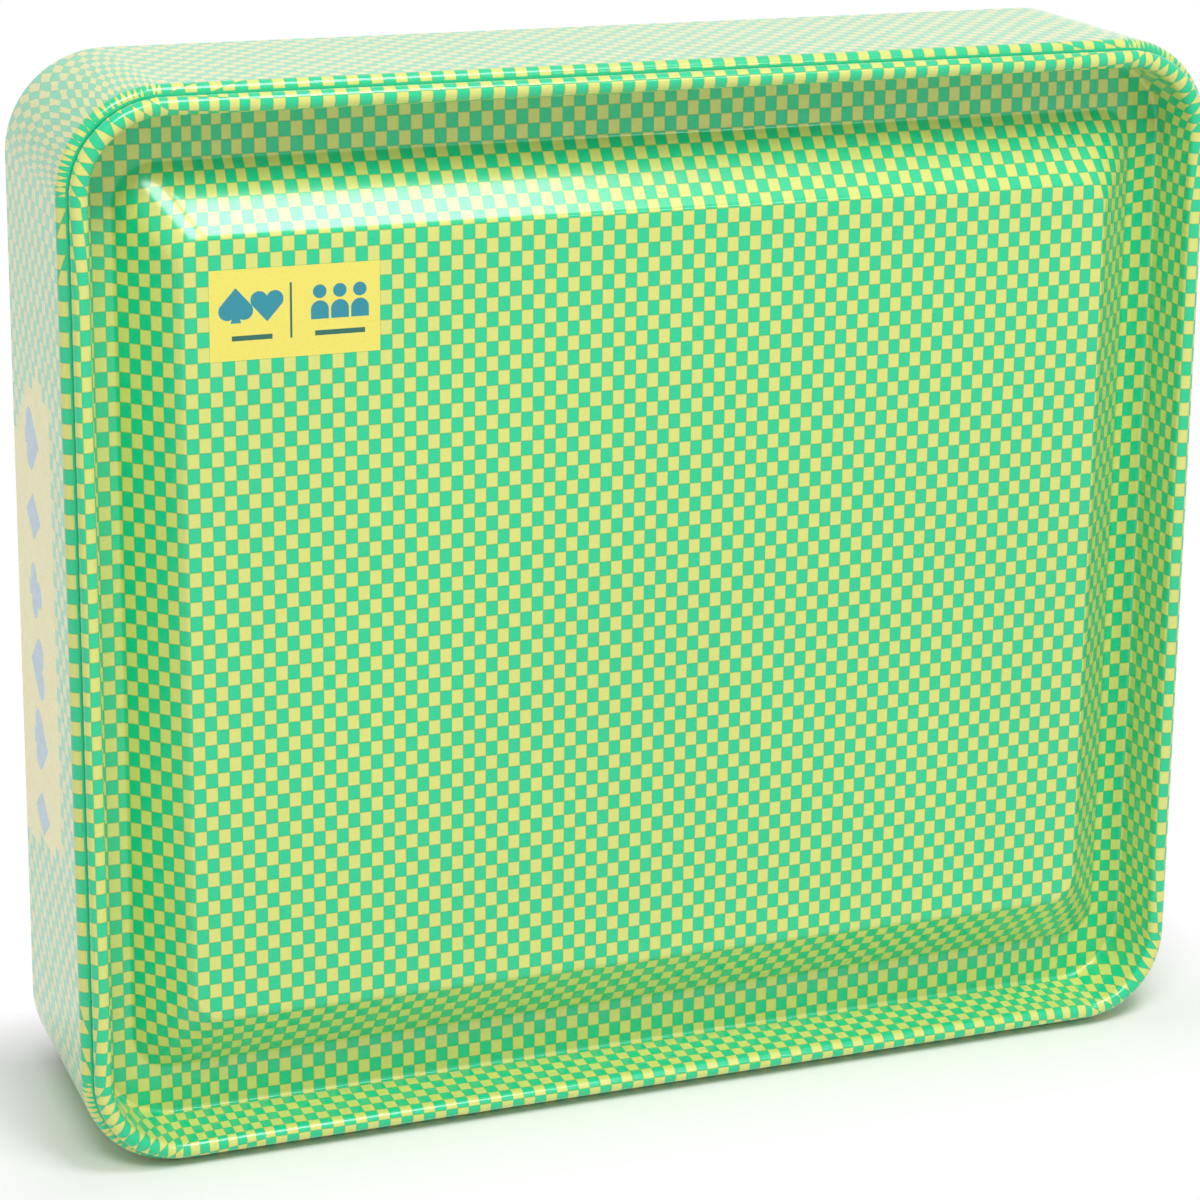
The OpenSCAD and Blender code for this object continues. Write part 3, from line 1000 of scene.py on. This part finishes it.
def make_sheets():
    bare = bare_tin("bare_tin")
    lid = lid_rings()
    lid_looks = [printed_tin("lid_print", badge), bare]
    lid_sheet = tin_sheet("lid_sheet", lid, flat_print(lid, False), lid_looks, len(lid) - 1)
    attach(lid_sheet, "lid")
    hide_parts("lid_panel")
    wall = wall_rings()
    wall_looks = [printed_tin("wall_print", wall_pictures), bare]
    wall_sheet = tin_sheet("wall_sheet", wall, wall_print(wall), wall_looks, None, in_window)
    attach(wall_sheet, "tin")
    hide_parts("body_wall")
    base = base_rings()
    base_looks = [printed_tin("base_print"), bare]
    base_sheet = tin_sheet("base_sheet", base, flat_print(base, True), base_looks, 0)
    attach(base_sheet, "tin")
    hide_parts("base_panel")


# Side seam and hinges

def extruded(name, points, low_z, high_z, material):
    """Closed outline in the frame's x and y, drawn up from low_z to high_z, in millimetres."""
    piece = new_piece(name, [material])
    bm = bmesh.new()
    low = [bm.verts.new((x * MM, y * MM, low_z * MM)) for x, y in points]
    high = [bm.verts.new((x * MM, y * MM, high_z * MM)) for x, y in points]
    count = len(points)
    bm.faces.new(low[::-1])
    bm.faces.new(high)
    for j in range(count):
        bm.faces.new([low[j], low[(j + 1) % count], high[(j + 1) % count], high[j]])
    bmesh.ops.recalc_face_normals(bm, faces=bm.faces)
    for face in bm.faces:
        face.smooth = True
    bm.to_mesh(piece.data)
    bm.free()
    soft = piece.modifiers.new("soft_edges", "BEVEL")
    soft.width = SOFT_EDGE * MM
    soft.segments = 2
    soft.limit_method = "ANGLE"
    even_normals(piece)
    return piece


def make_seam():
    """Side seam: the folded edges of the sheet, inside the right-hand wall."""
    outer = centre_x / MM + half_w - SHEET_T / 2
    inner = outer - SHEET_T * 1.5
    back = base_high.y / MM - 2 * CURL_R - SHOULDER_DROP
    front = base_high.y / MM - mouth_z + SHOULDER_DROP
    low = middle_z / MM - SEAM_W / 2
    high = middle_z / MM + SEAM_W / 2
    points = [(inner, front), (outer, front), (outer, back), (inner, back)]
    seam = extruded("side_seam", points, low, high, bare_tin("seam_tin"))
    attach(seam, "tin")


def rolled(axis, start):
    """Section of a knuckle: sheet rolled round the wire, starting at an angle in degrees."""
    angles = [math.radians(start + ROLL_SWEEP * k / ROLL_STEPS) for k in range(ROLL_STEPS + 1)]

    def circle(radius):
        return [(axis[0] + radius * math.cos(a), axis[1] + radius * math.sin(a)) for a in angles]
    return circle(KNUCKLE_R) + circle(BORE_R)[::-1]


def leaf_section(axis):
    """Section of the leaf from the lid knuckle to the lid's curl, sunk a little into both."""
    curl = Vector((centre_x / MM + half_w - curl_middle, base_high.y / MM - curl_z))
    direction = (curl - Vector(axis)).normalized()
    side = Vector((-direction.y, direction.x)) * LEAF_T / 2
    start = Vector(axis) + direction * (KNUCKLE_R - LEAF_SINK)
    end = curl - direction * (CURL_R - LEAF_SINK)
    return [tuple(start + side), tuple(end + side), tuple(end - side), tuple(start - side)]


def make_hinges():
    paint = knuckle_paint()
    near = LID_KNUCKLE_L / 2 + KNUCKLE_GAP
    far = near + BODY_KNUCKLE_L
    for name, centre in zip(("upper", "lower"), pin_centres):
        axis = (centre.x / MM, centre.y / MM)
        middle = centre.z / MM
        low = middle - LID_KNUCKLE_L / 2
        high = middle + LID_KNUCKLE_L / 2
        roll_section = rolled(axis, LID_ROLL_START)
        lid_roll = extruded(f"lid_knuckle_{name}", roll_section, low, high, paint)
        leaf = extruded(f"lid_leaf_{name}", leaf_section(axis), low, high, paint)
        for piece in (lid_roll, leaf):
            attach(piece, "lid")
        body_section = rolled(axis, BODY_ROLL_START)
        spans = (("a", middle + near, middle + far), ("b", middle - far, middle - near))
        for end, low, high in spans:
            roll = extruded(f"body_knuckle_{name}_{end}", body_section, low, high, paint)
            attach(roll, "tin")


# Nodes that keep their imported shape

def paint_node(name, material):
    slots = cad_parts[name].data.materials
    slots.clear()
    slots.append(material)


def dress_contents():
    steel = wire_steel()
    for name in ("hinge_pin_upper", "hinge_pin_lower"):
        paint_node(name, steel)
    paint_node("insert_tray", tray_plastic())
    paint_node("deck_left", card_back("deck_left", LATTICE_GREEN, GOLD, DECK_PITCH))
    paint_node("deck_right", card_back("deck_right", TEAL, GOLD, DECK_PITCH))
    for name in ("mini_deck_left", "mini_deck_right"):
        paint_node(name, card_back(name, GOLD, TEAL, MINI_PITCH))
    for name in ("band_left", "band_right", "mini_band_left", "mini_band_right"):
        paint_node(name, band_paper(name))
    paint_node("rule_booklet", booklet_paper())


# Studio

def make_camera():
    camera = bpy.data.cameras.new("camera")
    camera.lens = CAMERA_LENS
    camera.sensor_width = CAMERA_SENSOR
    camera.shift_x, camera.shift_y = CAMERA_SHIFT
    camera.clip_start = CAMERA_NEAR
    rig = bpy.data.objects.new("camera", camera)
    rig.location = CAMERA_PLACE
    rig.rotation_euler = Euler([math.radians(angle) for angle in CAMERA_TURN])
    bpy.context.scene.collection.objects.link(rig)
    bpy.context.scene.camera = rig


def soft_box(name, location, target, width, height, power):
    """Rectangular light that looks at a target, in metres and watts."""
    light = bpy.data.lights.new(name, "AREA")
    light.shape = "RECTANGLE"
    light.size = width
    light.size_y = height
    light.energy = power
    lamp = bpy.data.objects.new(name, light)
    lamp.location = location
    lamp.rotation_euler = (Vector(target) - Vector(location)).to_track_quat("-Z", "Y").to_euler()
    bpy.context.scene.collection.objects.link(lamp)


def make_world():
    """White surroundings: full white to the camera and in reflections, softer as a light."""
    world = bpy.data.worlds.new("studio")
    world.use_nodes = True
    bpy.context.scene.world = world
    tree = world.node_tree
    background = tree.nodes["Background"]
    background.inputs["Color"].default_value = (1, 1, 1, 1)
    path = tree.nodes.new("ShaderNodeLightPath")
    seen = tree.nodes.new("ShaderNodeMath")
    seen.operation = "MAXIMUM"
    tree.links.new(path.outputs["Is Camera Ray"], seen.inputs[0])
    tree.links.new(path.outputs["Is Glossy Ray"], seen.inputs[1])
    level = tree.nodes.new("ShaderNodeMath")
    level.operation = "MULTIPLY_ADD"
    tree.links.new(seen.outputs[0], level.inputs[0])
    level.inputs[1].default_value = 1 - WORLD_LIGHT
    level.inputs[2].default_value = WORLD_LIGHT
    tree.links.new(level.outputs[0], background.inputs["Strength"])


def floor_paper():
    """White paper that fades into the white background away from the object."""
    g = Graph("floor_paper", 0.9)
    where = g.coordinates()
    g.colour(g.mix(g.noise(where, 3.0), FLOOR_DARK, FLOOR_LIGHT))
    x, y, z = g.split(where)
    beside = g.math("MAXIMUM", g.minus(g.size(x), half_w * MM), 0.0)
    before = g.math("MAXIMUM", g.minus(g.size(y), tin_d * MM / 2), 0.0)
    reach = g.math("SQRT", g.add(g.times(beside, beside), g.times(before, before)))
    away = g.remap(reach, FLOOR_KEPT, FLOOR_WHITE, 0.0, 1.0)
    path = g.tree.nodes.new("ShaderNodeLightPath")
    glow = g.tree.nodes.new("ShaderNodeEmission")
    blend = g.tree.nodes.new("ShaderNodeMixShader")
    seen = g.either(path.outputs["Is Camera Ray"], path.outputs["Is Glossy Ray"])
    g.put(blend.inputs[0], g.both(away, seen))
    g.put(blend.inputs[1], g.shader.outputs[0])
    g.put(blend.inputs[2], glow.outputs[0])
    g.put(g.tree.nodes["Material Output"].inputs["Surface"], blend.outputs[0])
    return g.material


def make_floor():
    floor = new_piece("floor", [floor_paper()])
    half = FLOOR_SIZE / 2
    corners = [(-half, -half, 0), (half, -half, 0), (half, half, 0), (-half, half, 0)]
    floor.data.from_pydata(corners, [], [(0, 1, 2, 3)])


def make_studio():
    make_camera()
    make_world()
    soft_box("front_box", FRONT_PLACE, FRONT_TARGET, width=0.45, height=0.3, power=5.4)
    soft_box("key_box", KEY_PLACE, FRONT_TARGET, width=0.12, height=0.12, power=0.6)
    soft_box("top_box", TOP_PLACE, TOP_TARGET, width=0.28, height=0.34, power=3.4)
    make_floor()
    bpy.context.scene.view_settings.view_transform = "Standard"


make_sheets()
make_seam()
make_hinges()
dress_contents()
make_studio()
